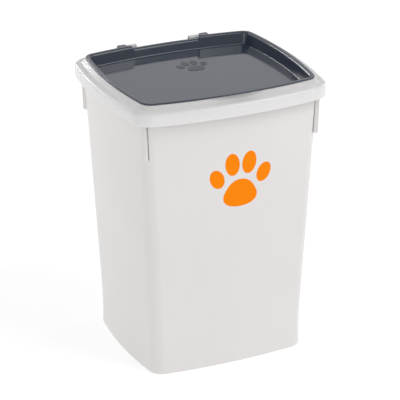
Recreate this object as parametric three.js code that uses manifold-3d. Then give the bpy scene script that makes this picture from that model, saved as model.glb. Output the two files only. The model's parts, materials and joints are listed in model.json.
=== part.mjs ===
// Pet food bin: a tapered tub with bowed sides, a clip-on top collar, and a tray-shaped lid
// that turns on two hinge pins at the back and seals in the collar's mouth.
// Millimetres, +Z up, front towards -Y, origin at the middle of the footprint on the floor.
import * as THREE from "three";
import { mergeVertices } from "three/addons/utils/BufferGeometryUtils.js";
import Module from "manifold-3d";

const wasm = await Module();
wasm.setup();

// ---- Driving dimensions -------------------------------------------------------------------

// The lid's rim sets the plan of the whole top: half sizes at mid side, how far each side
// bows out past its corners, and the corner radius.
const RIM_PLAN = { halfX: 140.3, halfY: 123.4, bowX: 10.1, bowY: 11.9, radius: 16.4 };
const FOOT_PLAN = { halfX: 126.2, halfY: 111.1, bowX: 8.9, bowY: 8.2, radius: 21.8 };

const LID_TOP = 421.5; // top of the lid's rim
const RIM_THICK = 2.2;
const TRAY_FLOOR = 403.8; // upper face of the lid's sunken floor
const FLOOR_THICK = 2;
const SKIRT_BOTTOM = 393.6; // lower edge of the collar's outer skirt
const COLLAR_OUT = 15.8; // how far the skirt stands outside the lid's rim
const REST_GAP = 0.3; // between pieces that rest on each other

const FLANGE_TOP = 408; // tub's rim flange, inside the collar
const FLANGE_THICK = 2.4;
const FLANGE_EDGE = 2.8; // flange's outer edge inside the skirt's outer face
const TUB_WALL = 2.4;
const TUB_OUT = 3.1; // tub's outer face past the lid's rim, at the skirt's lower edge
const UPRIGHT_BELOW = 22; // the sides stand nearly upright below this height,
const TAPER_ABOVE = 70; // and bend smoothly to their straight taper by this one
const FOOT_FLARE = 0.4; // the foot's growth from the first of those heights to the floor
const FLOOR_Z = 5.6; // inside floor of the tub
const FOOT_RECESS = 3; // underside is hollowed by this much inside the foot ring
const FOOT_RING = 9; // width of the ring that stands on the floor
const FOOT_EDGE = 3; // rounding under the tub

const RIB = { bottom: 338, thick: 2.2, outLow: 7.4, outHigh: 5.8, root: 1.4 };

const NOTCH_HALF = 51; // lowered middle of the lid's rear rim, half length
const NOTCH_RAMP = 3; // length of the step at each end of it
const NOTCH_DROP = 4;
const SCOOP_HALF = 57; // finger scoop in the collar's front, half length

const HINGE = { y: 128.4, z: 416.5 };
const PIN = { r: 2, bore: 2.3, x0: 42.6, x1: 71 };
const EAR = { r: 3.8, foot: 5.2, lead: 3.6, trail: 1, x0: 42, x1: 57.5 }; // collar's hinge ears
const KNUCKLE = { r: 4, heel: 1.4, arm: 11.5, x0: 59.3, x1: 71.3 }; // lid's hinge knuckles
const POCKET = { r: 4.6, side: 1, wall: 1.6, front: 8.6, rear: 8 }; // hollow that a knuckle turns in
const INSET = 0.3; // how far a merged-in piece stays inside the surface it joins
const OVERRUN = 1; // how far a bored hole's tool runs past the piece it bores

const SIDE_STEPS = 10; // facets along a bowed side
const CORNER_STEPS = 6; // facets round a corner
const BEND_STEPS = 4; // facets up the bend above the foot
const ROUND = 24; // facets round a pin
const WELD = 1e-4; // points closer than this are one point

// ---- Plans: closed outlines as stations, each a point with its outward normal --------------

// x positions, from a corner to the middle, of the stations along the front and back: fine
// enough for the notch and scoop.
const NOTCH_END = NOTCH_HALF + NOTCH_RAMP;
const CROSS_X = [84, 68, NOTCH_END, NOTCH_HALF, 42, 28, 14, 0];

// A rounded rectangle whose four sides are shallow arcs. Returned counter-clockwise.
function stationsOf({ halfX, halfY, bowX, bowY, radius }) {
  const cornerX = halfX - bowX;
  const cornerY = halfY - bowY;
  const sideR = (cornerY ** 2 + bowX ** 2) / (2 * bowX);
  const crossR = (cornerX ** 2 + bowY ** 2) / (2 * bowY);
  const sideC = halfX - sideR; // centre of the +X side's arc, on the X axis
  const crossC = halfY - crossR; // centre of the +Y side's arc, on the Y axis
  // A corner's centre is where both arcs, drawn in by the corner radius, meet.
  const a = sideR - radius;
  const b = crossR - radius;
  const span = Math.hypot(sideC, crossC);
  const along = (a * a - b * b + span * span) / (2 * span);
  const off = Math.sqrt(a * a - along * along);
  const ux = -sideC / span;
  const uy = crossC / span;
  const x = sideC + along * ux - off * uy;
  const y = along * uy + off * ux;
  const sideEnd = Math.atan2(y, x - sideC);
  const crossEnd = Math.atan2(y - crossC, x);
  const quarter = [];
  for (let i = 0; i < SIDE_STEPS / 2; i++) {
    const t = (sideEnd * i) / (SIDE_STEPS / 2);
    quarter.push(station(sideC, 0, sideR, t));
  }
  for (let i = 0; i <= CORNER_STEPS; i++) {
    const t = sideEnd + ((crossEnd - sideEnd) * i) / CORNER_STEPS;
    quarter.push(station(x, y, radius, t));
  }
  // The cross stations keep the rim plan's x positions in proportion, so every plan lofts to
  // every other.
  const scale = halfX / RIM_PLAN.halfX;
  for (const cx of CROSS_X) {
    quarter.push(station(0, crossC, crossR, Math.acos((cx * scale) / crossR)));
  }
  const second = quarter.slice(0, -1).reverse().map((s) => mirrored(s, -1, 1));
  const half = [...quarter, ...second];
  const lower = half.slice(1, -1).reverse().map((s) => mirrored(s, 1, -1));
  return [...half, ...lower];
}

function station(cx, cy, r, t) {
  const nx = Math.cos(t);
  const ny = Math.sin(t);
  return { x: cx + r * nx, y: cy + r * ny, nx, ny };
}

function mirrored(s, mx, my) {
  return { x: s.x * mx, y: s.y * my, nx: s.nx * mx, ny: s.ny * my };
}

const lerp = THREE.MathUtils.lerp;

function blendStations(a, b, t) {
  return a.map((s, i) => ({
    x: lerp(s.x, b[i].x, t),
    y: lerp(s.y, b[i].y, t),
    nx: lerp(s.nx, b[i].nx, t),
    ny: lerp(s.ny, b[i].ny, t),
  }));
}

function grown(stations, out) {
  return stations.map((s) => ({ ...s, x: s.x + out * s.nx, y: s.y + out * s.ny }));
}

// ---- Lofts: rings of points joined into one closed surface ---------------------------------

const ringAt = (stations, out, z) => stations.map((s) => [s.x + out * s.nx, s.y + out * s.ny, z]);

// Joins ring to ring. With caps, the first and last rings are closed by a fan to a middle point
// at their own height; without, the last ring joins back to the first.
function loft(rings, capped) {
  const count = rings[0].length;
  const points = rings.flat();
  const faces = [];
  const last = capped ? rings.length - 1 : rings.length;
  for (let r = 0; r < last; r++) {
    const a = r * count;
    const b = ((r + 1) % rings.length) * count;
    for (let i = 0; i < count; i++) {
      const j = (i + 1) % count;
      faces.push(a + i, a + j, b + j, a + i, b + j, b + i);
    }
  }
  if (capped) {
    const end = (rings.length - 1) * count;
    const first = points.push([0, 0, rings[0][0][2]]) - 1;
    const final = points.push([0, 0, rings.at(-1)[0][2]]) - 1;
    for (let i = 0; i < count; i++) {
      const j = (i + 1) % count;
      faces.push(first, j, i, final, end + i, end + j);
    }
  }
  const geometry = new THREE.BufferGeometry();
  geometry.setAttribute("position", new THREE.Float32BufferAttribute(points.flat(), 3));
  geometry.setIndex(faces);
  return geometry;
}

// Sweeps a closed profile of [out, z] pairs round the rim plan. local(station) gives the
// profile at that station, so the section can change along the way.
function swept(local) {
  const profiles = rimStations.map(local);
  return profiles[0].map((_, k) =>
    rimStations.map((s, i) => {
      const [out, z] = profiles[i][k];
      return [s.x + out * s.nx, s.y + out * s.ny, z];
    }),
  );
}

function blendProfile(a, b, t) {
  return a.map(([out, z], i) => [lerp(out, b[i][0], t), lerp(z, b[i][1], t)]);
}

// ---- Solids --------------------------------------------------------------------------------

function solid(geometry) {
  for (const name of Object.keys(geometry.attributes)) {
    if (name !== "position") geometry.deleteAttribute(name);
  }
  const merged = mergeVertices(geometry, WELD);
  const triVerts = new Uint32Array(merged.index.array);
  return new wasm.Manifold(
    new wasm.Mesh({ numProp: 3, vertProperties: merged.attributes.position.array, triVerts }),
  );
}

function geometryOf(manifold) {
  const mesh = manifold.getMesh();
  const geometry = new THREE.BufferGeometry();
  geometry.setAttribute("position", new THREE.BufferAttribute(mesh.vertProperties, 3));
  geometry.setIndex(new THREE.BufferAttribute(mesh.triVerts, 1));
  geometry.computeVertexNormals();
  return geometry;
}

function box(x0, x1, y0, y1, z0, z1) {
  const geometry = new THREE.BoxGeometry(x1 - x0, y1 - y0, z1 - z0);
  return solid(geometry.translate((x0 + x1) / 2, (y0 + y1) / 2, (z0 + z1) / 2));
}

// A round bar along X, from x0 to x1, centred on the hinge axis.
function hingeBar(r, x0, x1) {
  const geometry = new THREE.CylinderGeometry(r, r, x1 - x0, ROUND);
  return solid(geometry.rotateZ(Math.PI / 2).translate((x0 + x1) / 2, HINGE.y, HINGE.z));
}

// A plate whose outline is given as [y, z] pairs from the hinge axis, standing across X.
function hingePlate(outline, x0, x1) {
  const shape = new THREE.Shape(outline.map(([y, z]) => new THREE.Vector2(HINGE.y + y, HINGE.z + z)));
  const geometry = new THREE.ExtrudeGeometry(shape, { depth: x1 - x0, bevelEnabled: false });
  const axes = new THREE.Matrix4().makeBasis(
    new THREE.Vector3(0, 1, 0),
    new THREE.Vector3(0, 0, 1),
    new THREE.Vector3(1, 0, 0),
  );
  return solid(geometry.applyMatrix4(axes).translate(x0, 0, 0));
}

const bothSides = (make) => [make(1), make(-1)];
const span = (part, side) => (side > 0 ? [part.x0, part.x1] : [-part.x1, -part.x0]);

// ---- The tub -------------------------------------------------------------------------------

const rimStations = stationsOf(RIM_PLAN);
const footStations = stationsOf(FOOT_PLAN);
const waistStations = grown(footStations, -FOOT_FLARE);
const tubTopStations = grown(rimStations, TUB_OUT);

// Outer face of the tub at height z.
function tubAt(z) {
  if (z < UPRIGHT_BELOW) return blendStations(footStations, waistStations, z / UPRIGHT_BELOW);
  const bendMiddle = (UPRIGHT_BELOW + TAPER_ABOVE) / 2;
  const bent = Math.min(z, TAPER_ABOVE) - UPRIGHT_BELOW;
  const straight = Math.max(0, Math.min(z, SKIRT_BOTTOM) - TAPER_ABOVE);
  const rise = bent ** 2 / (2 * (TAPER_ABOVE - UPRIGHT_BELOW)) + straight;
  return blendStations(waistStations, tubTopStations, rise / (SKIRT_BOTTOM - bendMiddle));
}

function tubShell() {
  const flangeOut = COLLAR_OUT - TUB_OUT - FLANGE_EDGE;
  const flangeUnder = FLANGE_TOP - FLANGE_THICK;
  const at = (z, out) => ringAt(tubAt(z), out, z);
  const bend = [];
  for (let i = 0; i <= BEND_STEPS; i++) bend.push(lerp(UPRIGHT_BELOW, TAPER_ABOVE, i / BEND_STEPS));
  const rings = [
    at(FOOT_RECESS, -FOOT_RING - 1),
    at(0, -FOOT_RING),
    at(0, -FOOT_EDGE),
    at(FOOT_EDGE * 0.3, -FOOT_EDGE * 0.3),
    at(FOOT_EDGE, 0),
    ...bend.map((z) => at(z, 0)),
    at(SKIRT_BOTTOM, 0),
    at(flangeUnder, 0),
    at(flangeUnder, flangeOut),
    at(FLANGE_TOP, flangeOut),
    at(FLANGE_TOP, -TUB_WALL),
    at(SKIRT_BOTTOM, -TUB_WALL),
    ...bend.reverse().map((z) => at(z, -TUB_WALL)),
    at(FLOOR_Z + FOOT_EDGE, -TUB_WALL),
    at(FLOOR_Z, -TUB_WALL - FOOT_EDGE),
  ];
  return loft(rings, true);
}

// A fin on each corner that keeps nested tubs apart, standing square to the corner's curve.
function cornerRib(corner) {
  const top = tubAt(SKIRT_BOTTOM)[corner];
  const low = tubAt(RIB.bottom)[corner];
  const drop = Math.hypot(top.x, top.y) - Math.hypot(low.x, low.y);
  const topZ = FLANGE_TOP - FLANGE_THICK / 2;
  const outline = [
    [-RIB.root - drop, RIB.bottom],
    [RIB.outLow - drop, RIB.bottom],
    [RIB.outHigh, SKIRT_BOTTOM],
    [RIB.outHigh, topZ],
    [-RIB.root, topZ],
    [-RIB.root, SKIRT_BOTTOM],
  ];
  const shape = new THREE.Shape(outline.map(([out, z]) => new THREE.Vector2(out, z)));
  const geometry = new THREE.ExtrudeGeometry(shape, { depth: RIB.thick, bevelEnabled: false });
  const outward = new THREE.Vector3(top.nx, top.ny, 0).normalize();
  const up = new THREE.Vector3(0, 0, 1);
  const across = new THREE.Vector3().crossVectors(outward, up);
  const place = new THREE.Matrix4().makeBasis(outward, up, across);
  place.setPosition(top.x - (across.x * RIB.thick) / 2, top.y - (across.y * RIB.thick) / 2, 0);
  return solid(geometry.applyMatrix4(place));
}

function container() {
  const middle = SIDE_STEPS / 2 + CORNER_STEPS / 2; // station at the middle of the first corner
  const count = rimStations.length;
  const corners = [middle, count / 2 - middle, count / 2 + middle, count - middle];
  return corners.reduce((tub, corner) => tub.add(cornerRib(corner)), solid(tubShell()));
}

// ---- The collar ----------------------------------------------------------------------------

const REST_Z = LID_TOP - RIM_THICK - REST_GAP; // top of the upstand that the lid rests on
const LEG_IN = -4.2; // inner face of the leg that hangs in the tub's mouth
const LEG_OUT = -2.4;

const COLLAR = [
  [COLLAR_OUT, SKIRT_BOTTOM],
  [COLLAR_OUT, 408.6],
  [15.1, 410.6],
  [13.4, 412],
  [10.4, 413.2],
  [7.6, 414.2], // foot of the upstand
  [1.2, REST_Z - 0.5],
  [0.6, REST_Z],
  [-3.8, REST_Z],
  [LEG_IN, REST_Z - 0.5],
  [LEG_IN, 398],
  [LEG_OUT, 398],
  [LEG_OUT, 415.6],
  [-1.2, 416.6],
  [0.6, 416.4],
  [2.4, 415],
  [2.4, FLANGE_TOP + REST_GAP], // rib that rests on the tub's flange
  [4, FLANGE_TOP + REST_GAP],
  [4, 413.9],
  [6.8, 412],
  [10.4, 411],
  [12.9, 409.5],
  [13.6, 408.3],
  [13.6, 405.3],
  [12.7, 404.6], // bead that clips under the tub's flange
  [12.7, 404],
  [13.6, 402.8],
  [13.6, SKIRT_BOTTOM],
];

// The same section with some of its points moved: index to [out, z].
const varied = (moves) => COLLAR.map((point, i) => moves[i] ?? point);

// In the finger scoop the upstand is pressed down to the collar's top and only the leg stands.
const COLLAR_SCOOP = varied({
  4: [10.2, 412.6],
  5: [5.6, 412.5],
  6: [-1.3, 412.2],
  7: [-2.2, REST_Z - 0.6],
  8: [-2.8, REST_Z],
  12: [LEG_OUT, 409.6],
  13: [-1.2, 410],
  14: [0.6, 410.1],
  15: [2.4, 410.2],
  18: [4, 410.3],
  19: [6.8, 410.3],
  20: [10.4, 410.1],
});

// Behind the lowered middle of the rear rim the upstand is as much lower.
const COLLAR_NOTCH = varied({
  4: [10.4, 412.8],
  5: [7.4, 413.4],
  6: [1.5, REST_Z - NOTCH_DROP - 0.1],
  7: [0.6, REST_Z - NOTCH_DROP],
  8: [-3.8, REST_Z - NOTCH_DROP],
  9: [LEG_IN, REST_Z - NOTCH_DROP - 0.5],
  12: [LEG_OUT, 411.7],
  13: [-1.2, 412.6],
  14: [0.6, 412.5],
  15: [2.4, 412.3],
  18: [4, 412],
  19: [6.8, 411.2],
});

// 1 in the middle of the rear rim, 0 past the step at each end.
function notchShare({ x, y }) {
  if (y < 0) return 0;
  return 1 - THREE.MathUtils.smoothstep(Math.abs(x), NOTCH_HALF, NOTCH_END);
}

function scoopShare({ x, y }) {
  if (y > 0 || Math.abs(x) > SCOOP_HALF) return 0;
  return Math.cos((Math.PI / 2) * (x / SCOOP_HALF)) ** 2;
}

function collarProfile(station) {
  const scooped = blendProfile(COLLAR, COLLAR_SCOOP, scoopShare(station));
  return blendProfile(scooped, COLLAR_NOTCH, notchShare(station));
}

// The space between the tub's flange and the collar's upper surface.
function collarInside() {
  const upper = COLLAR.slice(1, 8).map(([out, z]) => [out - 2 * INSET, z - INSET]);
  const section = [[COLLAR_OUT - 2 * INSET, FLANGE_TOP + REST_GAP], ...upper, [LEG_OUT, REST_Z - INSET]];
  return solid(loft(section.map(([out, z]) => ringAt(rimStations, out, z)), true));
}

// Walls and floor of the hollow that a knuckle turns in, before the hollow is cut.
function pocketBlock([x0, x1]) {
  const margin = POCKET.side + POCKET.wall;
  return box(x0 - margin, x1 + margin, HINGE.y - POCKET.front, HINGE.y + POCKET.rear, FLANGE_TOP, LID_TOP);
}

function ear([x0, x1]) {
  const outline = [[EAR.r, 0]];
  const arc = ROUND / 2;
  for (let i = 1; i <= arc; i++) {
    const t = (Math.PI * i) / arc;
    outline.push([EAR.r * Math.cos(t), EAR.r * Math.sin(t)]);
  }
  outline.push([-EAR.r - EAR.lead, -EAR.foot], [EAR.r + EAR.trail, -EAR.foot]);
  return hingePlate(outline, x0, x1);
}

function collar() {
  const inside = collarInside();
  let made = solid(loft(swept(collarProfile), false));
  for (const side of [1, -1]) {
    const [k0, k1] = span(KNUCKLE, side);
    made = made.add(pocketBlock([k0, k1]).intersect(inside));
    made = made.subtract(hingeBar(POCKET.r, k0 - POCKET.side, k1 + POCKET.side));
    const [e0, e1] = span(EAR, side);
    made = made.add(ear([e0, e1])).subtract(hingeBar(PIN.bore, e0 - OVERRUN, e1 + OVERRUN));
  }
  return made;
}

// ---- The lid -------------------------------------------------------------------------------

const RIM_UNDER = LID_TOP - RIM_THICK;

// From the tray's floor up its wall, over the rim, and back down outside, where two fine ribs
// hold the seal between them.
const LID = [
  [-11.9, TRAY_FLOOR],
  [-10.8, TRAY_FLOOR + 0.9],
  [-6.9, LID_TOP - 1.6],
  [-5.8, LID_TOP - 0.2],
  [-1, LID_TOP],
  [0, LID_TOP - 0.8],
  [0, RIM_UNDER + 0.4],
  [-0.4, RIM_UNDER],
  [-5, RIM_UNDER],
  [-5.6, RIM_UNDER - 1],
  [-6.6, 411.7],
  [-5.4, 411.6],
  [-5.4, 410.7],
  [-6.9, 410.6],
  [-8.3, 405.5],
  [-5.6, 405.4],
  [-5.6, 404.5],
  [-8.6, 404.4],
  [-10, TRAY_FLOOR - FLOOR_THICK],
];
const RIM_POINTS = [2, 9]; // first and last points of the profile that drop in the notch
const WALL_LEAN = 0.15; // tray wall's lean, out over height

function lidProfile(station) {
  const drop = NOTCH_DROP * notchShare(station);
  const [first, last] = RIM_POINTS;
  return LID.map(([out, z], i) => {
    if (i < first || i > last) return [out, z];
    const inward = i === first || i === last ? WALL_LEAN * drop : 0;
    return [out - inward, z - drop];
  });
}

// A knuckle is a barrel on the hinge axis, an arm from the rim to it, and a heel behind it
// that meets the collar when the lid is fully open. The arm runs into the barrel and the rim.
function knuckle([x0, x1]) {
  const under = RIM_UNDER - HINGE.z + INSET;
  const top = LID_TOP - HINGE.z - INSET;
  const barrelFace = -Math.sqrt(KNUCKLE.r ** 2 - under ** 2);
  const heelFoot = KNUCKLE.r - INSET / 4;
  const arm = [
    [0, 0],
    [heelFoot, INSET],
    [KNUCKLE.heel, top],
    [-KNUCKLE.arm, top],
    [-KNUCKLE.arm, under],
    [barrelFace + INSET, under],
  ];
  return hingeBar(KNUCKLE.r, x0, x1).add(hingePlate(arm, x0, x1));
}

function lid() {
  let made = solid(loft(swept(lidProfile).reverse(), true));
  for (const side of [1, -1]) {
    const [x0, x1] = span(KNUCKLE, side);
    made = made.add(knuckle([x0, x1])).subtract(hingeBar(PIN.bore, x0 - OVERRUN, x1 + OVERRUN));
  }
  return made;
}

// ---- The seal ------------------------------------------------------------------------------

const SEAL = [
  [-6.6, 410.3],
  [-5.1, 410.3],
  [-4.6, 409.3],
  [-4.6, 408.5],
  [-5.3, 407.7],
  [-5.3, 405.8],
  [-7.85, 405.8],
];

function seal() {
  return solid(loft(swept(() => SEAL).reverse(), false));
}

// ---- Assembly ------------------------------------------------------------------------------

const finish = (color, roughness) => new THREE.MeshStandardMaterial({ color, roughness, metalness: 0 });
const TUB_WHITE = finish("#dcdad8", 0.42);
const COLLAR_WHITE = finish("#e8e9e9", 0.28);
const LID_GREY = finish("#4b4f58", 0.25);
const SEAL_GREY = finish("#8c8f94", 0.6);

const bin = new THREE.Group();

function place(name, manifold, material) {
  const mesh = new THREE.Mesh(geometryOf(manifold), material);
  mesh.name = name;
  bin.add(mesh);
}

place("container_body", container(), TUB_WHITE);
place("top_collar", collar(), COLLAR_WHITE);
place("lid", lid(), LID_GREY);
place("lid_seal", seal(), SEAL_GREY);
const [pinRight, pinLeft] = bothSides((side) => hingeBar(PIN.r, ...span(PIN, side)));
place("hinge_pin_right", pinRight, LID_GREY);
place("hinge_pin_left", pinLeft, LID_GREY);

export default bin;
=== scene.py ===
"""A pet food bin: a tapered white tub with bowed sides, a clip-on collar with a finger scoop in
its front, and a slate grey lid with a sunken tray that is hinged at the back.

The shapes are worked out in millimetres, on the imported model's own dimensions."""
import json
import math

import bmesh
import bpy
import numpy as np
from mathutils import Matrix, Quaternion, Vector

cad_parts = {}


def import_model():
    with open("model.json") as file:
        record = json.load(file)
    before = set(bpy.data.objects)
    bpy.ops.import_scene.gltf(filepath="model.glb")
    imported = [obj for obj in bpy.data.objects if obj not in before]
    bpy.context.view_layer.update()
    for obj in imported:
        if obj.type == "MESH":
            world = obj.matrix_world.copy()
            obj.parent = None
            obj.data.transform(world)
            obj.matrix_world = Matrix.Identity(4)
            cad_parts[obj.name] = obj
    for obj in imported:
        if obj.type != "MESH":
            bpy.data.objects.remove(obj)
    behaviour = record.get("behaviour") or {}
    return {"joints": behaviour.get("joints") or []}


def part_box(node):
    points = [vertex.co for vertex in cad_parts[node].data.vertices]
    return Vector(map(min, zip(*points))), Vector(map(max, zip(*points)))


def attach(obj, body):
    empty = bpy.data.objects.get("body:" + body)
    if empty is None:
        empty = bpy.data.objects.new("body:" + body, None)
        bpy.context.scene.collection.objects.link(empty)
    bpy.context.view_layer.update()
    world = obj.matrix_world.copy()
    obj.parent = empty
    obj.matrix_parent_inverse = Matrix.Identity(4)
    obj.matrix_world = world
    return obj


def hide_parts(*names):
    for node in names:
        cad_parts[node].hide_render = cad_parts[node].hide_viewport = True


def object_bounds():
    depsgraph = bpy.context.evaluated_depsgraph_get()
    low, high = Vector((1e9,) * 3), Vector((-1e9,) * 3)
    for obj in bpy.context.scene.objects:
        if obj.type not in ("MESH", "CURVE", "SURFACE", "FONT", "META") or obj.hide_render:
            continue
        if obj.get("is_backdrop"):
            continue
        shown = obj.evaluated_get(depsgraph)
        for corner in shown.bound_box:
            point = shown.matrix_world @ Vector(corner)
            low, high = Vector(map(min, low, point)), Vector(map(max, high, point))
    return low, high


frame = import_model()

MM = 0.001
cad_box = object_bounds()

# ---- Dimensions, in millimetres -----------------------------------------------------------


def box_mm(node):
    """Lowest and highest corner of a CAD node."""
    return [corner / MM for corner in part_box(node)]


tub_high = box_mm("container_body")[1]
collar_low, collar_high = box_mm("top_collar")
lid_low, lid_high = box_mm("lid")
hinge = next(joint for joint in frame["joints"] if joint["name"] == "lid_hinge")
HINGE_Y, HINGE_Z = hinge["pos_m"][1] / MM, hinge["pos_m"][2] / MM

# Plans: half sizes at mid side, how far each side bows out past its corners, corner radius.
RIM_PLAN = (lid_high.x, -lid_low.y, 10.1, 11.9, 16.4)
FOOT_PLAN = (126.2, 111.1, 8.9, 8.2, 21.8)

LID_TOP = lid_high.z
RIM_THICK = 2.2
TRAY_THICK = 2
TRAY_FLOOR = lid_low.z + TRAY_THICK
PART_GAP = 0.3  # play between parts that rest on each other
SKIRT_BOTTOM = collar_low.z
COLLAR_OUT = collar_high.x - lid_high.x  # how far the skirt stands outside the lid's rim
REST_Z = LID_TOP - RIM_THICK - PART_GAP  # top of the upstand that the lid rests on

FLANGE_TOP = tub_high.z
FLANGE_THICK = 2.4
FLANGE_EDGE = 2.8  # from the flange's edge to the skirt's outer face
TUB_WALL = 2.4
TUB_OUT = 3.1  # tub's outer face past the lid's rim, at the skirt's lower edge
UPRIGHT_BELOW = 22  # the sides stand nearly upright below this height,
TAPER_ABOVE = 70  # and bend smoothly to their straight taper by this one
FOOT_FLARE = 0.4
FLOOR_Z = 5.6
FLOOR_START = 8  # from the inner wall to the first ring of the floor
FOOT_WIDTH = 9  # of the flat ring that the tub stands on
HOLLOW_IN, HOLLOW_HIGH = 10, 3  # where the hollow within that ring ends, and its height

RIB_BOTTOM = 338
RIB_EASE = 0.6  # a rib's foot is rounded over twice this height
RIB_HALF = 1.15  # half the thickness of a corner rib
RIB_LOW, RIB_HIGH = 7.4, 5.8  # how far a rib stands out at its two ends
RIB_SQUARENESS = 14  # the higher, the squarer a rib's section
# Round channels along a rib's root: how far beside its face their axes lie, and how far above
# its foot they start.
CHANNEL = {"radius": 0.95, "beside": 0.1, "above": 0.9, "facets": 12}

NOTCH_HALF = 51  # lowered middle of the lid's rear rim, half length
NOTCH_RAMP = 3
NOTCH_DROP = 4
SCOOP_HALF = 57  # finger scoop in the collar's front, half length

# Hinge parts. An ear's foot reaches past its round top by lead and trail. The block that
# surrounds a pocket reaches front, rear, low and high from the hinge axis.
EAR = {"radius": 3.8, "foot": 5.2, "lead": 3.6, "trail": 1, "edge": 0.5, "x": (42, 57.5)}
KNUCKLE = {"radius": 4, "heel": 1.4, "arm": 11.5, "edge": 0.35, "x": (59.3, 71.3)}
PIN = {"radius": 2, "bore": 2.3, "edge": 0.4, "x": (42.6, 71)}
POCKET = {"radius": 4.6, "side": 1, "wall": 1.6, "front": 8.6, "rear": 8, "low": 8, "high": 4}
BORE_OVERRUN = 1  # how far a cutting bar stands out of the part it cuts
INSET = 0.3  # how far joined parts sink into each other
SKIN = 0.6  # what is left of the collar's own wall outside a pocket's block

SIDE_STEPS = 48  # facets along a bowed side
CORNER_STEPS = 16
ROUND = 64  # facets round a pin
EAR_STEPS = 24
RAMP_STEPS = 8
CROSS_STEP = 4  # between stations along the front and back,
CROSS_END = 110  # which end short of this X, near the corners
HEIGHT_STEP = 9  # tallest facet on the tub's sides

# ---- Plans --------------------------------------------------------------------------------


def cross_positions():
    """X of the stations along half of the front and back, close together where the rim steps."""
    ramp = [NOTCH_HALF + NOTCH_RAMP * i / RAMP_STEPS for i in range(-1, RAMP_STEPS + 2)]
    spaced = [x for x in range(0, CROSS_END, CROSS_STEP) if not ramp[0] - 1 < x < ramp[-1] + 1]
    return sorted(spaced + ramp, reverse=True)


def even_fractions():
    return [i / CORNER_STEPS for i in range(CORNER_STEPS + 1)]


def rib_fractions(arc):
    """Fractions of a corner's arc, gathered at its middle so that they trace a rib."""
    # Millimetres from the rib's middle, closest where its faces turn down.
    near = [0.3, 0.6, 0.8, 0.9, 0.97, 1.03, 1.08, 1.13, 1.18, 1.24, 1.32, 1.45, 1.7, 2.2]
    across = [side * s for s in near for side in (1, -1)] + [0]
    kept_clear = 0.12  # of the arc, on both sides of its middle
    wide = [f for f in even_fractions() if abs(f - 0.5) > kept_clear]
    return sorted(wide + [0.5 + s / arc for s in across])


def plan(shape, ribbed=False):
    """Stations round a bowed rounded rectangle, counter-clockwise, one row each:
    x, y, outward normal, and the distance along the corner from a rib's middle."""
    half_x, half_y, bow_x, bow_y, radius = shape
    corner_x, corner_y = half_x - bow_x, half_y - bow_y
    side_r = (corner_y**2 + bow_x**2) / (2 * bow_x)
    cross_r = (corner_x**2 + bow_y**2) / (2 * bow_y)
    side_c, cross_c = half_x - side_r, half_y - cross_r
    # A corner's centre is where both arcs, drawn in by the corner radius, meet.
    a, b = side_r - radius, cross_r - radius
    span = math.hypot(side_c, cross_c)
    along = (a * a - b * b + span * span) / (2 * span)
    off = math.sqrt(a * a - along * along)
    ux, uy = -side_c / span, cross_c / span
    x, y = side_c + along * ux - off * uy, along * uy + off * ux
    side_end, cross_end = math.atan2(y, x - side_c), math.atan2(y - cross_c, x)
    arc = (cross_end - side_end) * radius
    far = arc  # anything well clear of a rib

    quarter = []

    def add(cx, cy, r, t, s):
        quarter.append((cx + r * math.cos(t), cy + r * math.sin(t), math.cos(t), math.sin(t), s))

    for i in range(SIDE_STEPS // 2):
        add(side_c, 0, side_r, side_end * i / (SIDE_STEPS / 2), far)
    for f in rib_fractions(arc) if ribbed else even_fractions():
        add(x, y, radius, side_end + (cross_end - side_end) * f, abs(f - 0.5) * arc)
    for cx in cross_positions():
        add(0, cross_c, cross_r, math.acos(cx * half_x / RIM_PLAN[0] / cross_r), far)
    quarter = np.array(quarter)
    half = np.vstack([quarter, quarter[-2::-1] * (-1, 1, -1, 1, 1)])
    return np.vstack([half, half[-2:0:-1] * (1, -1, 1, -1, 1)])


def grown(stations, out):
    """The stations moved outward."""
    moved = stations.copy()
    moved[:, :2] += out * stations[:, 2:4]
    return moved


def ring(stations, out, z):
    """Points at height z, each out beyond its station. out and z are numbers or one per station."""
    points = stations[:, :2] + np.reshape(out, (-1, 1)) * stations[:, 2:4]
    return np.column_stack([points, np.broadcast_to(z, len(points))])


def smoothstep(t):
    t = np.clip(t, 0, 1)
    return t * t * (3 - 2 * t)


# ---- Profiles: (out, z, corner radius) ----------------------------------------------------

ROUND_STEPS = 4
LARGEST_CUT = 0.48  # of a side of the profile, so that two roundings never meet


def rounded(profile, closed):
    """The profile as points, with every corner that has a radius turned into a short curve.
    The profile's numbers may be arrays, one value for each station."""
    points = []
    count = len(profile)
    for i, (out, z, radius) in enumerate(profile):
        here = np.array([out, z])
        if not closed and i in (0, count - 1):
            points.append(here)
            continue
        before = np.array(profile[i - 1][:2]) - here
        after = np.array(profile[(i + 1) % count][:2]) - here
        reach_before = np.hypot(*before)
        reach_after = np.hypot(*after)
        cut = np.minimum(radius, LARGEST_CUT * np.minimum(reach_before, reach_after))
        start = here + before / reach_before * cut
        end = here + after / reach_after * cut
        for k in range(ROUND_STEPS + 1):
            t = k / ROUND_STEPS
            points.append((1 - t) ** 2 * start + 2 * t * (1 - t) * here + t * t * end)
    return points


def blended(a, b, share):
    """Each point of profile a moved towards its point in b, by a share for each station."""
    return [tuple(p + (q - p) * share for p, q in zip(one, two)) for one, two in zip(a, b)]


def varied(profile, moves):
    """The profile with some of its points replaced, each given by its place in the list."""
    return [moves.get(i, point) for i, point in enumerate(profile)]


# ---- Meshes -------------------------------------------------------------------------------


def make(name, points, faces):
    """A mesh object from points in millimetres."""
    mesh = bpy.data.meshes.new(name)
    mesh.from_pydata((np.array(points) * MM).tolist(), [], faces)
    mesh.validate()
    obj = bpy.data.objects.new(name, mesh)
    bpy.context.collection.objects.link(obj)
    return obj


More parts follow.
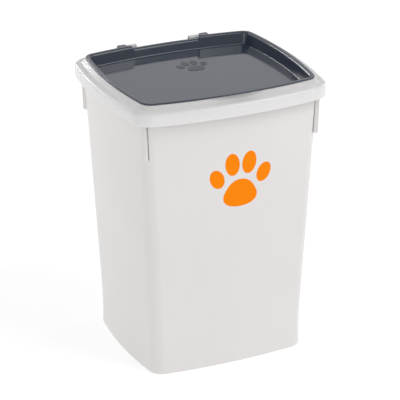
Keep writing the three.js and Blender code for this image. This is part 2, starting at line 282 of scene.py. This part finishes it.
def loft(name, rings, capped):
    """A closed mesh through rings of points. Capped, it has a flat face at each end;
    otherwise its last ring joins its first."""
    count = len(rings[0])
    faces = []
    for r in range(len(rings) - 1 if capped else len(rings)):
        a, b = r * count, (r + 1) % len(rings) * count
        faces += [(a + i, a + (i + 1) % count, b + (i + 1) % count, b + i) for i in range(count)]
    if capped:
        end = (len(rings) - 1) * count
        faces += [tuple(range(count))[::-1], tuple(range(end, end + count))]
    return make(name, np.vstack(rings), faces)


def swept(stations, profile):
    """Rings round the stations, one for each point of the profile."""
    return [ring(stations, out, z) for out, z in profile]


CAP_SHARES = (0.95, 0.9, 0.8, 0.7, 0.6, 0.5, 0.4, 0.3, 0.2, 0.1)


def capped_in(rings):
    """The rings with both end faces drawn in towards the middle, evenly enough to shade well."""
    first = [rings[0] * (share, share, 1) for share in reversed(CAP_SHARES)]
    last = [rings[-1] * (share, share, 1) for share in CAP_SHARES]
    return first + rings + last


SHARP_FROM = 32  # degrees


def smooth(obj):
    """Shades the object smooth but for its sharp edges, and returns it."""
    obj.data.shade_smooth()
    obj.data.set_sharp_from_angle(angle=math.radians(SHARP_FROM))
    weighted = obj.modifiers.new("even normals", "WEIGHTED_NORMAL")
    weighted.keep_sharp = True
    return obj


def combine(obj, other, how):
    """Joins other to obj, or cuts it away, and leaves one mesh."""
    cut = obj.modifiers.new(how, "BOOLEAN")
    cut.operation = how
    cut.solver = "EXACT"
    cut.object = other
    shape = obj.evaluated_get(bpy.context.evaluated_depsgraph_get())
    mesh = bpy.data.meshes.new_from_object(shape)
    obj.modifiers.clear()
    old, obj.data = obj.data, mesh
    mesh.name = obj.name
    bpy.data.meshes.remove(old)
    bpy.data.objects.remove(other)


def hinge_bar(radius, x0, x1, edge=0.0):
    """A round bar on the hinge axis, its ends eased by edge."""
    rings = []
    for x, r in ((x0, radius - edge), (x0 + edge, radius), (x1 - edge, radius), (x1, radius - edge)):
        turns = [2 * math.pi * i / ROUND for i in range(ROUND)]
        circle = [(x, HINGE_Y + r * math.cos(t), HINGE_Z + r * math.sin(t)) for t in turns]
        rings.append(np.array(circle))
    return loft("bar", rings if edge else rings[1:3], True)


def cutter(radius, span, overrun):
    """A bar on the hinge axis that is longer than its span at both ends."""
    return hinge_bar(radius, span[0] - overrun, span[1] + overrun)


SAME_X = 1e-7  # metres


def hinge_plate(outline, x0, x1, edge):
    """A plate across X whose outline is (y, z) from the hinge axis, with its edges rounded."""
    ends = [[(x, HINGE_Y + y, HINGE_Z + z) for y, z in outline] for x in (x0, x1)]
    obj = loft("plate", [np.array(end) for end in ends], True)
    mesh = bmesh.new()
    mesh.from_mesh(obj.data)
    rims = [e for e in mesh.edges if abs(e.verts[0].co.x - e.verts[1].co.x) < SAME_X]
    bmesh.ops.bevel(mesh, geom=rims, offset=edge * MM, segments=3, affect="EDGES", profile=0.5)
    mesh.to_mesh(obj.data)
    mesh.free()
    return obj


def both_sides(part):
    """The part's range of X, and its mirror image."""
    return [part["x"], (-part["x"][1], -part["x"][0])]


# ---- The tub ------------------------------------------------------------------------------

foot = plan(FOOT_PLAN, ribbed=True)
waist = grown(foot, -FOOT_FLARE)
tub_top = grown(plan(RIM_PLAN, ribbed=True), TUB_OUT)


def tub_at(z):
    """Stations on the tub's outer face at height z."""
    if z < UPRIGHT_BELOW:
        return foot + (waist - foot) * (z / UPRIGHT_BELOW)
    middle = (UPRIGHT_BELOW + TAPER_ABOVE) / 2
    bent = min(z, TAPER_ABOVE) - UPRIGHT_BELOW
    straight = max(0, min(z, SKIRT_BOTTOM) - TAPER_ABOVE)
    rise = bent**2 / (2 * (TAPER_ABOVE - UPRIGHT_BELOW)) + straight
    return waist + (tub_top - waist) * (rise / (SKIRT_BOTTOM - middle))


def rib_out(stations, z):
    """How far the corner ribs stand out of the tub at height z, for each station."""
    rise = (z - RIB_BOTTOM + RIB_EASE) / (2 * RIB_EASE)
    if rise <= 0:
        return 0.0
    length = SKIRT_BOTTOM - RIB_BOTTOM
    reach = RIB_LOW + (RIB_HIGH - RIB_LOW) * min(1, max(0, z - RIB_BOTTOM) / length)
    eased = math.sqrt(min(1, rise))
    return reach * eased / (1 + (stations[:, 4] / RIB_HALF) ** RIB_SQUARENESS)


def climb(z0, z1):
    """Heights strictly between two, evenly spaced."""
    count = math.ceil((z1 - z0) / HEIGHT_STEP)
    return [z0 + (z1 - z0) * i / count for i in range(1, count)]


def rib_channels():
    """Round rods along both sides of each rib's root, to be cut away."""
    heights = FLANGE_TOP - FLANGE_THICK - 1, RIB_BOTTOM + CHANNEL["above"]
    high, low = (tub_at(z) for z in heights)
    radius, facets = CHANNEL["radius"], CHANNEL["facets"]
    turns = [2 * math.pi * i / facets for i in range(facets)]
    rods = []
    for corner in np.flatnonzero(low[:, 4] == 0):
        for side in (1, -1):
            ends = []
            for z, station in zip(heights, (high[corner], low[corner])):
                out = np.array([station[2], station[3], 0])
                across = side * np.array([-station[3], station[2], 0])
                middle = np.array([station[0], station[1], z])
                middle = middle + across * (RIB_HALF + CHANNEL["beside"])
                spokes = [math.cos(t) * across + side * math.sin(t) * out for t in turns]
                ends.append(np.array([middle + radius * spoke for spoke in spokes]))
            rods.append(loft("rib channel", ends, True))
    return rods


def tub():
    flange_out = COLLAR_OUT - TUB_OUT - FLANGE_EDGE
    under = FLANGE_TOP - FLANGE_THICK
    rib_start = [RIB_BOTTOM + dz for dz in (-RIB_EASE, -0.55, -0.4, -0.1, 0.3, RIB_EASE)]
    # Heights between the profile's corners, clear of their roundings.
    up = climb(5, RIB_BOTTOM - 2) + rib_start + climb(RIB_BOTTOM + 3, under - 2)
    outer = [(-HOLLOW_IN, HOLLOW_HIGH, 0), (-FOOT_WIDTH, 0, 0.8), (0, 0, 3)]
    outer += [(0, z, 0) for z in up]
    outer += [(0, under, 1), (flange_out, under, 0.7), (flange_out, FLANGE_TOP, 0.7)]
    inner = [(-TUB_WALL, FLANGE_TOP, 0.8)]
    inner += [(-TUB_WALL, z, 0) for z in reversed(climb(FLOOR_Z + 5, FLANGE_TOP - 2))]
    inner += [(-TUB_WALL, FLOOR_Z, 4), (-TUB_WALL - FLOOR_START, FLOOR_Z, 0)]
    rings = []
    for out, z in rounded(outer + inner, closed=False):
        stations = tub_at(z)
        if out > -TUB_WALL / 2 and z < under:
            out = out + rib_out(stations, z)
        rings.append(ring(stations, out, z))
    made = loft("tub", capped_in(rings), True)
    for rod in rib_channels():
        combine(made, rod, "DIFFERENCE")
    return smooth(made)


# ---- The collar ---------------------------------------------------------------------------

rim = plan(RIM_PLAN)
LEG_IN, LEG_OUT = -4.2, -2.4  # both faces of the leg that hangs inside the tub's mouth
LEG_BOTTOM = 398
REST_RIB = FLANGE_TOP + PART_GAP

COLLAR = [
    (COLLAR_OUT, SKIRT_BOTTOM, 0.6),
    (COLLAR_OUT, 410.2, 2.6),
    (13.3, 412.2, 2),
    (10.0, 413.3, 2),
    (7.6, 414.1, 1.2),  # foot of the upstand
    (1.2, REST_Z - 0.4, 0.6),
    (0.6, REST_Z, 0.4),
    (-3.8, REST_Z, 0.5),
    (LEG_IN, REST_Z - 0.5, 0.5),
    (LEG_IN, LEG_BOTTOM, 0.6),
    (LEG_OUT, LEG_BOTTOM, 0.6),
    (LEG_OUT, 415.7, 0.6),
    (-1.2, 416.7, 0.6),
    (0.5, 416.5, 0.6),
    (2.4, 415, 0.4),
    (2.4, REST_RIB, 0.3),  # rib that rests on the tub's flange
    (4, REST_RIB, 0.3),
    (4, 413.9, 0.5),
    (6.8, 412, 0.8),
    (10.4, 411, 2),
    (13, 409.4, 1),
    (13.6, 408.3, 0.5),
    (13.6, 405.3, 0.4),
    (12.7, 404.6, 0.3),  # bead that clips under the tub's flange
    (12.7, 404, 0.3),
    (13.6, 402.8, 0.4),
    (13.6, SKIRT_BOTTOM, 0.6),
]

# In the finger scoop the upstand is pressed down to the collar's top and only the leg stands.
COLLAR_SCOOP = varied(
    COLLAR,
    {
        3: (10, 412.6, 2),
        4: (5.6, 412.5, 2),
        5: (-1.4, 412.1, 2.2),
        6: (-2.3, REST_Z - 0.5, 0.5),
        7: (-2.9, REST_Z, 0.4),
        11: (LEG_OUT, 409.6, 0.4),
        12: (-1.2, 410, 0.4),
        13: (0.6, 410.1, 0.4),
        14: (2.4, 410.2, 0.3),
        17: (4, 410.3, 0.3),
        18: (6.8, 410.3, 0.6),
        19: (10.4, 410.1, 1.5),
    },
)

# Behind the lowered middle of the rear rim the upstand is as much lower.
COLLAR_NOTCH = varied(
    COLLAR,
    {
        3: (10.2, 412.9, 2),
        4: (7.4, 413.4, 1),
        5: (1.5, REST_Z - NOTCH_DROP - 0.1, 0.4),
        6: (0.7, REST_Z - NOTCH_DROP, 0.4),
        7: (-3.8, REST_Z - NOTCH_DROP, 0.5),
        8: (LEG_IN, REST_Z - NOTCH_DROP - 0.5, 0.5),
        11: (LEG_OUT, 411.7, 0.4),
        12: (-1.2, 412.6, 0.4),
        13: (0.6, 412.5, 0.4),
        14: (2.4, 412.3, 0.3),
        17: (4, 412, 0.4),
        18: (6.8, 411.2, 0.8),
    },
)


def notch_share(stations):
    """1 along the lowered middle of the rear rim, 0 past the step at each end of it."""
    x, y = stations[:, 0], stations[:, 1]
    return np.where(y < 0, 0, 1 - smoothstep((np.abs(x) - NOTCH_HALF) / NOTCH_RAMP))


def scoop_share(stations):
    """1 in the middle of the finger scoop, 0 past its ends."""
    x, y = stations[:, 0], stations[:, 1]
    inside = (y < 0) & (np.abs(x) < SCOOP_HALF)
    return np.where(inside, np.cos(math.pi / 2 * x / SCOOP_HALF) ** 2, 0)


UPPER_FACE = slice(1, 7)  # the profile's points from the skirt's shoulder to the upstand's top
BLOCK_EDGE = 0.01


def pocket_block(x0, x1):
    """Walls and floor of the hollow that a knuckle turns in, within the collar's own section."""
    margin = POCKET["side"] + POCKET["wall"]
    upper = [(out - SKIN, z - INSET) for out, z, _ in COLLAR[UPPER_FACE]]
    section = [(COLLAR_OUT - SKIN, REST_RIB), *upper, (LEG_OUT, REST_Z - INSET)]
    inside = loft("inside", swept(rim, section), True)
    front, rear, low, high = -POCKET["front"], POCKET["rear"], -POCKET["low"], POCKET["high"]
    reach = [(front, low), (rear, low), (rear, high), (front, high)]
    block = hinge_plate(reach, x0 - margin, x1 + margin, BLOCK_EDGE)
    combine(block, inside, "INTERSECT")
    return block


def ear(x0, x1):
    """A rounded upright that holds one end of a pin."""
    radius, foot_z = EAR["radius"], -EAR["foot"]
    arc = [math.pi * i / EAR_STEPS for i in range(EAR_STEPS + 1)]
    outline = [(radius * math.cos(t), radius * math.sin(t)) for t in arc]
    outline += [(-radius - EAR["lead"], foot_z), (radius + EAR["trail"], foot_z)]
    return hinge_plate(outline, x0, x1, EAR["edge"])


def collar():
    section = blended(COLLAR, COLLAR_SCOOP, scoop_share(rim))
    section = blended(section, COLLAR_NOTCH, notch_share(rim))
    made = loft("collar", swept(rim, rounded(section, closed=True)), False)
    for knuckle_x, ear_x in zip(both_sides(KNUCKLE), both_sides(EAR)):
        combine(made, pocket_block(*knuckle_x), "UNION")
        combine(made, cutter(POCKET["radius"], knuckle_x, POCKET["side"]), "DIFFERENCE")
        combine(made, ear(*ear_x), "UNION")
        combine(made, cutter(PIN["bore"], ear_x, BORE_OVERRUN), "DIFFERENCE")
    return smooth(made)


# ---- The lid ------------------------------------------------------------------------------

RIM_UNDER = LID_TOP - RIM_THICK

LID = [
    (-15, TRAY_FLOOR, 0),
    (-11.4, TRAY_FLOOR, 2),  # where the tray's floor meets its wall
    (-6.4, LID_TOP, 3),
    (0, LID_TOP, 1),
    (0, RIM_UNDER, 0.6),
    (-5, RIM_UNDER, 0.6),
    (-6.6, 411.7, 0.4),
    (-5.4, 411.6, 0.3),
    (-5.4, 410.7, 0.3),
    (-6.9, 410.6, 0.4),
    (-8.3, 405.5, 0.4),
    (-5.6, 405.4, 0.3),
    (-5.6, 404.5, 0.3),
    (-8.6, 404.4, 0.5),
    (-10, lid_low.z, 1.2),
    (-15, lid_low.z, 0),
]
RIM_POINTS = range(2, 6)  # the profile's points that drop in the notch
WALL_LEAN = 0.15  # how far the rim's inner points move in for each millimetre of drop


def lid_section(stations):
    """The lid's profile, with its rim lowered and drawn in at the stations in the notch."""
    drop = NOTCH_DROP * notch_share(stations)
    section = []
    for i, (out, z, radius) in enumerate(LID):
        down = 1 if i in RIM_POINTS else 0
        inward = WALL_LEAN if i in (RIM_POINTS[0], RIM_POINTS[-1]) else 0
        section.append((out - inward * drop, z - down * drop, radius))
    return section


ARM_LIFT = 0.2  # from the rim's underside up to the arm's
HEEL_INSET, HEEL_RISE = 0.05, 0.4  # where the heel leaves the knuckle's round end


def knuckle(x0, x1):
    """A round eye on an arm that reaches into the lid's rim, with a heel behind."""
    radius, arm, edge = KNUCKLE["radius"], KNUCKLE["arm"], KNUCKLE["edge"]
    under = RIM_UNDER - HINGE_Z + ARM_LIFT
    top = LID_TOP - HINGE_Z - INSET
    outline = [(-arm, under), (-math.sqrt(radius**2 - under**2) + INSET, under), (0, 0)]
    outline += [(radius - HEEL_INSET, HEEL_RISE), (KNUCKLE["heel"], top), (-arm, top)]
    plate = hinge_plate(outline, x0, x1, edge)
    combine(plate, hinge_bar(radius, x0, x1, edge), "UNION")
    return plate


def lid():
    rings = swept(rim, rounded(lid_section(rim), closed=False))[::-1]
    made = loft("lid_moulding", capped_in(rings), True)
    for x0, x1 in both_sides(KNUCKLE):
        combine(made, knuckle(x0, x1), "UNION")
        combine(made, cutter(PIN["bore"], (x0, x1), BORE_OVERRUN), "DIFFERENCE")
    return smooth(made)


SEAL = [
    (-6.6, 410.3, 0.2),
    (-5.1, 410.3, 0.4),
    (-4.6, 409.3, 0.4),
    (-4.6, 408.5, 0.4),
    (-5.3, 407.7, 0.5),
    (-5.3, 405.8, 0.3),
    (-7.85, 405.8, 0.2),
]


def seal():
    return smooth(loft("seal_ring", swept(rim, rounded(SEAL, closed=True))[::-1], False))


def pin(x0, x1, name):
    made = hinge_bar(PIN["radius"], x0, x1, PIN["edge"])
    made.name = made.data.name = name
    return smooth(made)


# ---- Paw prints ---------------------------------------------------------------------------

# Four toes: centre, half width, half height, turn in degrees.
TOES = [
    (-36, 8, 10.5, 15, 24),
    (-13, 27, 11, 17, 7),
    (13, 27, 11, 17, -7),
    (36, 8, 10.5, 15, -24),
]
PAD = {"middle": (0, -19), "half_width": 27, "half_height": 20, "lobes": 0.07, "tallness": 0.05}
PAW_STEPS = 72
PAW_RINGS = 14
RIM_SHARE = 0.996  # where a print's face starts to round over
RIM_HEIGHT = 0.6  # height of the rounding's outer end, as a share of the print's


def toe_edge(toe):
    """Middle of a toe, and its oval outline round that middle."""
    cx, cy, a, b, turn = toe
    t = np.linspace(0, 2 * math.pi, PAW_STEPS, endpoint=False)
    turned = math.radians(turn)
    x, y = a * np.cos(t), b * np.sin(t)
    x, y = x * math.cos(turned) - y * math.sin(turned), x * math.sin(turned) + y * math.cos(turned)
    return np.array([cx, cy]), np.column_stack([x, y])


def pad_edge():
    """Middle of the pad, and its outline round it: an oval pushed softly into three lobes."""
    t = np.linspace(0, 2 * math.pi, PAW_STEPS, endpoint=False)
    reach = 1 + PAD["lobes"] * np.cos(3 * (t - math.pi / 2)) - PAD["tallness"] * np.cos(2 * t)
    x, y = PAD["half_width"] * reach * np.cos(t), PAD["half_height"] * reach * np.sin(t)
    return np.array(PAD["middle"]), np.column_stack([x, y])


def paw(name, place, proud, sunk):
    """A flat paw print laid on a surface. place(u, v, lift) gives the point for a spot on the
    print; the print's face is lifted by proud and its back is sunk below the surface."""
    points, faces = [], []
    for centre, edge in [toe_edge(toe) for toe in TOES] + [pad_edge()]:
        first = len(points)
        layers = [(r / PAW_RINGS, proud) for r in range(1, PAW_RINGS)]
        layers += [(RIM_SHARE, proud), (1, proud * RIM_HEIGHT), (1, -sunk)]
        points.append(place(*centre, proud))
        for share, lift in layers:
            points += [place(*(centre + share * spot), lift) for spot in edge]
        points.append(place(*centre, -sunk))
        n = PAW_STEPS
        for i in range(n):
            j = (i + 1) % n
            faces.append((first, first + 1 + i, first + 1 + j))
            for r in range(len(layers) - 1):
                a, b = first + 1 + r * n, first + 1 + (r + 1) * n
                faces.append((a + i, b + i, b + j, a + j))
            back = first + 1 + (len(layers) - 1) * n
            faces.append((first + 1 + len(layers) * n, back + j, back + i))
    return smooth(make(name, points, faces))


MARK_X, MARK_Z = 8, 289  # middle of the front print
PRINT_PROUD, PRINT_SUNK = 0.08, 0.6
EMBOSS_X, EMBOSS_Y = 12, 46  # middle of the print moulded into the tray's floor
EMBOSS_SCALE = 0.5
EMBOSS_PROUD, EMBOSS_SUNK = 0.35, 0.6


def on_front(u, v, lift):
    """The point on the tub's front wall for a spot on the print."""
    x, z = MARK_X + u, MARK_Z + v
    stations = tub_at(z)
    front = stations[stations[:, 1] < 0]
    front = front[np.argsort(front[:, 0])]
    return (x, np.interp(x, front[:, 0], front[:, 1]) - lift, z)


def on_tray(u, v, lift):
    """The point on the tray's floor for a spot on the print."""
    return (EMBOSS_X + u * EMBOSS_SCALE, EMBOSS_Y + v * EMBOSS_SCALE, TRAY_FLOOR + lift)


# ---- Materials ----------------------------------------------------------------------------


MIX_A, MIX_B, MIX_RESULT = 6, 7, 2  # a Mix node's colour sockets


class Nodes:
    """A material's node tree, with short ways to add to it."""

    def __init__(self, name):
        self.material = bpy.data.materials.new(name)
        self.material.use_nodes = True
        self.tree = self.material.node_tree
        self.shader = self.tree.nodes["Principled BSDF"]

    def add(self, kind, **settings):
        node = self.tree.nodes.new(kind)
        for key, value in settings.items():
            if key in node.inputs:
                node.inputs[key].default_value = value
            else:
                setattr(node, key, value)
        return node

    def link(self, out, into):
        self.tree.links.new(out, into)

    def place(self, stretch):
        coords = self.add("ShaderNodeTexCoord")
        mapping = self.add("ShaderNodeMapping", Scale=stretch)
        self.link(coords.outputs["Object"], mapping.inputs["Vector"])
        return mapping.outputs["Vector"]

    def noise(self, scale, detail, stretch=(1, 1, 1)):
        """Noise with that many features to a metre."""
        node = self.add("ShaderNodeTexNoise", Scale=scale, Detail=detail)
        self.link(self.place(stretch), node.inputs["Vector"])
        return node.outputs["Fac"]

    def ranged(self, value, low, high, start=0.3, stop=0.7):
        """Low where the value is start or less, high where it is stop or more."""
        node = self.add("ShaderNodeMapRange")
        node.inputs["From Min"].default_value = start
        node.inputs["From Max"].default_value = stop
        node.inputs["To Min"].default_value = low
        node.inputs["To Max"].default_value = high
        self.link(value, node.inputs["Value"])
        return node.outputs["Result"]

    def mixed(self, share, a, b):
        node = self.add("ShaderNodeMix", data_type="RGBA")
        self.link(share, node.inputs["Factor"])
        for socket, value in ((node.inputs[MIX_A], a), (node.inputs[MIX_B], b)):
            if isinstance(value, tuple):
                socket.default_value = (*value, 1)
            else:
                self.link(value, socket)
        return node.outputs[MIX_RESULT]

    def maths(self, operation, a, b):
        node = self.add("ShaderNodeMath", operation=operation)
        for socket, value in zip(node.inputs, (a, b)):
            if isinstance(value, (int, float)):
                socket.default_value = value
            else:
                self.link(value, socket)
        return node.outputs[0]

    def edges(self, width_mm):
        """1 on edges and 0 on flat and gently curved faces."""
        bevel = self.add("ShaderNodeBevel", samples=6, Radius=width_mm * MM)
        face = self.add("ShaderNodeNewGeometry")
        both = self.add("ShaderNodeVectorMath", operation="DOT_PRODUCT")
        self.link(bevel.outputs["Normal"], both.inputs[0])
        self.link(face.outputs["Normal"], both.inputs[1])
        return self.ranged(both.outputs["Value"], 1, 0, start=0.86, stop=0.985)

    def crease_shade_mask(self, reach_mm):
        """1 deep in narrow creases and 0 in the open: the mask for painted crease shade."""
        open_sky = self.add("ShaderNodeAmbientOcclusion", samples=8, only_local=True)
        open_sky.inputs["Distance"].default_value = reach_mm * MM
        return self.ranged(open_sky.outputs["AO"], 1, 0, start=0.42, stop=0.62)

    def steep_above(self, height_mm):
        """Up to 1 on steep faces above a height, and 0 below it and on level ones."""
        coords, face = self.add("ShaderNodeTexCoord"), self.add("ShaderNodeNewGeometry")
        place, facing = self.add("ShaderNodeSeparateXYZ"), self.add("ShaderNodeSeparateXYZ")
        self.link(coords.outputs["Object"], place.inputs[0])
        self.link(face.outputs["Normal"], facing.inputs[0])
        fade = 0.6
        start, stop = (height_mm - fade) * MM, (height_mm + fade) * MM
        high = self.ranged(place.outputs["Z"], 0, 1, start, stop)
        steep = self.ranged(facing.outputs["Z"], 1, 0, start=0.5, stop=0.95)
        return self.maths("MULTIPLY", high, steep)

    def bump(self, height, distance_mm, strength, under=None):
        node = self.add("ShaderNodeBump", Strength=strength, Distance=distance_mm * MM)
        self.link(height, node.inputs["Height"])
        if under:
            self.link(under, node.inputs["Normal"])
        return node.outputs["Normal"]


def tint(colour, factor):
    """The colour made lighter or darker."""
    return tuple(min(1, c * factor) for c in colour)


EDGE_MM = 0.9  # width of a worn edge
CREASE_MM = 5  # reach of a crease's shade
SCATTER_MM = 5
# Painted shade: the share of colour kept on steep faces under an overhang.
OVERHANG_SHADE_TINT = 0.7
WORN_ROUGHNESS = 0.06  # added on worn edges


def moulded(
    name, colour, roughness, grain_mm, depth_mm, edge, scatter=0.0, ior=1.49, shade_above=None, crease_shade=0.7
):
    """Injection moulded plastic: slow colour drift, a fine grain, faint rubbed patches, worn
    edges, and painted shade in narrow creases. The edge and crease factors are how much brighter
    and darker those are.
    Steep faces above a given height are painted darker, as shade under an overhang."""
    n = Nodes(name)
    drift = n.mixed(n.ranged(n.noise(7, detail=2), 0, 1), tint(colour, 0.985), tint(colour, 1.015))
    flow = n.noise(60, detail=4, stretch=(1, 1, 0.12))
    body = n.mixed(n.ranged(flow, 0, 0.35), drift, tint(colour, 0.97))
    worn = n.maths("MULTIPLY", n.edges(EDGE_MM), n.ranged(n.noise(90, detail=3), 0.1, 0.8))
    body = n.mixed(worn, body, tint(colour, edge))
    # Painted shade: steep faces above the given height, under the lid's rim, are darkened.
    if shade_above:
        body = n.mixed(n.steep_above(shade_above), body, tint(colour, OVERHANG_SHADE_TINT))
    # Painted shade: narrow creases, where little light reaches, are darkened in the base colour.
    body = n.mixed(n.crease_shade_mask(CREASE_MM), body, tint(colour, crease_shade))
    n.link(body, n.shader.inputs["Base Color"])
    grain = n.noise(1 / (grain_mm * MM), detail=2)
    rubbed = n.ranged(n.noise(25, detail=5, stretch=(1, 1, 0.4)), -0.03, 0.05)
    shine = n.maths("ADD", rubbed, n.ranged(grain, roughness - 0.02, roughness + 0.03))
    matt = n.maths("MULTIPLY", worn, WORN_ROUGHNESS)
    n.link(n.maths("ADD", shine, matt), n.shader.inputs["Roughness"])
    slow = n.bump(n.noise(45, detail=1), distance_mm=0.05, strength=0.5)
    fine = n.bump(grain, depth_mm, strength=0.6, under=slow)
    n.link(fine, n.shader.inputs["Normal"])
    n.shader.inputs["IOR"].default_value = ior
    if scatter:
        n.shader.inputs["Subsurface Weight"].default_value = scatter
        n.shader.inputs["Subsurface Radius"].default_value = (1, 0.93, 0.85)
        n.shader.inputs["Subsurface Scale"].default_value = SCATTER_MM * MM
    return n.material


def ink(name, colour):
    """Printed ink, a little thicker and thinner from place to place."""
    n = Nodes(name)
    cover = n.ranged(n.noise(320, detail=4), 0, 1)
    n.link(n.mixed(cover, tint(colour, 0.97), tint(colour, 1.02)), n.shader.inputs["Base Color"])
    n.link(n.ranged(n.noise(900, detail=2), 0.3, 0.4), n.shader.inputs["Roughness"])
    n.shader.inputs["IOR"].default_value = 1.15
    grain = n.bump(n.noise(1500, detail=2), distance_mm=0.004, strength=0.5)
    n.link(grain, n.shader.inputs["Normal"])
    return n.material


def rubber(name, colour):
    """Matt rubber with a finely pitted face and a little dust."""
    n = Nodes(name)
    dust = n.ranged(n.noise(400, detail=5), 0, 1)
    n.link(n.mixed(dust, tint(colour, 0.9), tint(colour, 1.15)), n.shader.inputs["Base Color"])
    n.link(n.ranged(n.noise(700, detail=3), 0.55, 0.72), n.shader.inputs["Roughness"])
    pits = n.bump(n.noise(2500, detail=3), distance_mm=0.01, strength=0.6)
    n.link(pits, n.shader.inputs["Normal"])
    return n.material


FLOOR_HALF = 6000  # half its length and width
FLOOR_GREY = 0.6
FLOOR_GLOW = 0.55


def floor_material():
    n = Nodes("floor")
    n.shader.inputs["Base Color"].default_value = (FLOOR_GREY, FLOOR_GREY, FLOOR_GREY, 1)
    n.shader.inputs["Roughness"].default_value = 0.9
    n.shader.inputs["Specular IOR Level"].default_value = 0.1
    n.shader.inputs["Emission Color"].default_value = (1, 1, 1, 1)
    n.shader.inputs["Emission Strength"].default_value = FLOOR_GLOW
    return n.material


# ---- The object's pieces ------------------------------------------------------------------

TUB_WHITE = (0.76, 0.74, 0.73)
COLLAR_WHITE = (0.76, 0.75, 0.75)
LID_GREY = (0.036, 0.046, 0.070)
SEAL_GREY = (0.2, 0.21, 0.23)
PRINT_ORANGE = (1.0, 0.245, 0.0)
OVERHANG_SHADE_FROM = 412.4  # steep faces of the collar above this height get painted shade, as under the lid's rim

# The tub's creases, such as the channels at the ribs' roots, get deep painted shade.
tub_plastic = moulded("tub_plastic", TUB_WHITE, 0.34, 0.7, 0.006, edge=1.04, crease_shade=0.4)
collar_plastic = moulded(
    "collar_plastic", COLLAR_WHITE, 0.24, 0.6, 0.006, edge=1.04, scatter=0.35, shade_above=OVERHANG_SHADE_FROM
)
lid_plastic = moulded("lid_plastic", LID_GREY, 0.08, 0.5, 0.001, edge=1.35, ior=1.57)
pin_plastic = moulded("pin_plastic", LID_GREY, 0.35, 0.5, 0.006, edge=1.3)
seal_rubber = rubber("seal_rubber", SEAL_GREY)
orange_ink = ink("orange_ink", PRINT_ORANGE)
emboss_plastic = moulded("emboss_plastic", tint(LID_GREY, 0.7), 0.3, 0.4, 0.004, edge=1.35)


def piece(obj, material, body, node=None):
    obj.data.materials.clear()
    obj.data.materials.append(material)
    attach(obj, body)
    if node:
        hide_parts(node)


piece(tub(), tub_plastic, "bin", "container_body")
piece(collar(), collar_plastic, "bin", "top_collar")
piece(lid(), lid_plastic, "lid", "lid")
piece(seal(), seal_rubber, "lid", "lid_seal")
for side, (x0, x1) in zip(("right", "left"), both_sides(PIN)):
    piece(pin(x0, x1, f"pin_{side}"), pin_plastic, "bin", f"hinge_pin_{side}")
front_print = paw("front_print", on_front, PRINT_PROUD, PRINT_SUNK)
piece(front_print, orange_ink, "bin")
tray_emboss = paw("tray_emboss", on_tray, EMBOSS_PROUD, EMBOSS_SUNK)
piece(tray_emboss, emboss_plastic, "lid")

# ---- Stage, light and camera --------------------------------------------------------------


def floor():
    corners = [(x * FLOOR_HALF, y * FLOOR_HALF, 0) for x, y in ((-1, -1), (1, -1), (1, 1), (-1, 1))]
    obj = make("floor", corners, [(0, 1, 2, 3)])
    obj.data.materials.append(floor_material())
    obj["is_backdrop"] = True


def aimed(obj, place, target):
    """Puts a light at a place and turns it towards the target."""
    obj.location = place
    obj.rotation_euler = (Vector(target) - Vector(place)).to_track_quat("-Z", "Y").to_euler()


def softbox(name, azimuth, elevation, distance, width, height, radiance):
    """An area light seen from the bin at that azimuth and elevation in degrees, its distance
    and size in metres."""
    light = bpy.data.lights.new(name, "AREA")
    light.shape = "RECTANGLE"
    light.size, light.size_y = width, height
    light.energy = radiance * math.pi * width * height
    obj = bpy.data.objects.new(name, light)
    bpy.context.collection.objects.link(obj)
    obj.visible_camera = False
    aimed(obj, around(azimuth, elevation, distance, MIDDLE), MIDDLE)


def around(azimuth, elevation, distance, target):
    """The point at that distance from the target. Azimuth 0 is straight in front."""
    a, e = math.radians(azimuth), math.radians(elevation)
    back = Vector((math.sin(a) * math.cos(e), -math.cos(a) * math.cos(e), math.sin(e)))
    return Vector(target) + back * distance


def world(strength):
    made = bpy.data.worlds.new("studio")
    made.use_nodes = True
    background = made.node_tree.nodes["Background"]
    background.inputs["Color"].default_value = (1, 1, 1, 1)
    background.inputs["Strength"].default_value = strength
    bpy.context.scene.world = made


def camera(azimuth, elevation, roll, distance, target, lens):
    data = bpy.data.cameras.new("camera")
    data.lens = lens
    data.sensor_width = 36
    data.clip_end = 50
    obj = bpy.data.objects.new("camera", data)
    bpy.context.collection.objects.link(obj)
    obj.location = around(azimuth, elevation, distance, target)
    level = (Vector(target) - obj.location).to_track_quat("-Z", "Y")
    obj.rotation_euler = (level @ Quaternion((0, 0, 1), math.radians(roll))).to_euler()
    bpy.context.scene.camera = obj


MIDDLE = (0, 0, 0.2146)
floor()
world(0.4)
# Azimuth, elevation, distance, width, height and radiance.
softbox("key", 43, 40, 2.6, 1.6, 1.8, 2.1)
softbox("key core", 40, 51, 2.58, 1.4, 0.35, 5)
softbox("overhead", 0, 88, 2.4, 1.8, 1.8, 0.15)
softbox("front left", -50, 20, 2.6, 1.6, 1.6, 1.3)
softbox("behind left", -154, 28, 2.6, 1.9, 1.5, 0.85)
softbox("behind left core", -159, 21, 2.56, 1.0, 0.14, 20)
softbox("low left", -160, 8, 2.6, 0.8, 0.28, 4)
softbox("backdrop", 155.5, 24, 3.0, 1.8, 1.4, 0.48)
softbox("right edge", 105, 20, 2.6, 0.9, 1.6, 1.6)
bpy.context.scene.view_settings.view_transform = "Standard"
AIM = (0.00087, -0.0004, 0.21376)
camera(azimuth=-24.499, elevation=23.409, roll=-0.217, distance=3.1093, target=AIM, lens=192.06)

visual_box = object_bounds()
boxes = {"cad": cad_box, "visual": visual_box}
{name: [list(corner) for corner in box] for name, box in boxes.items()}
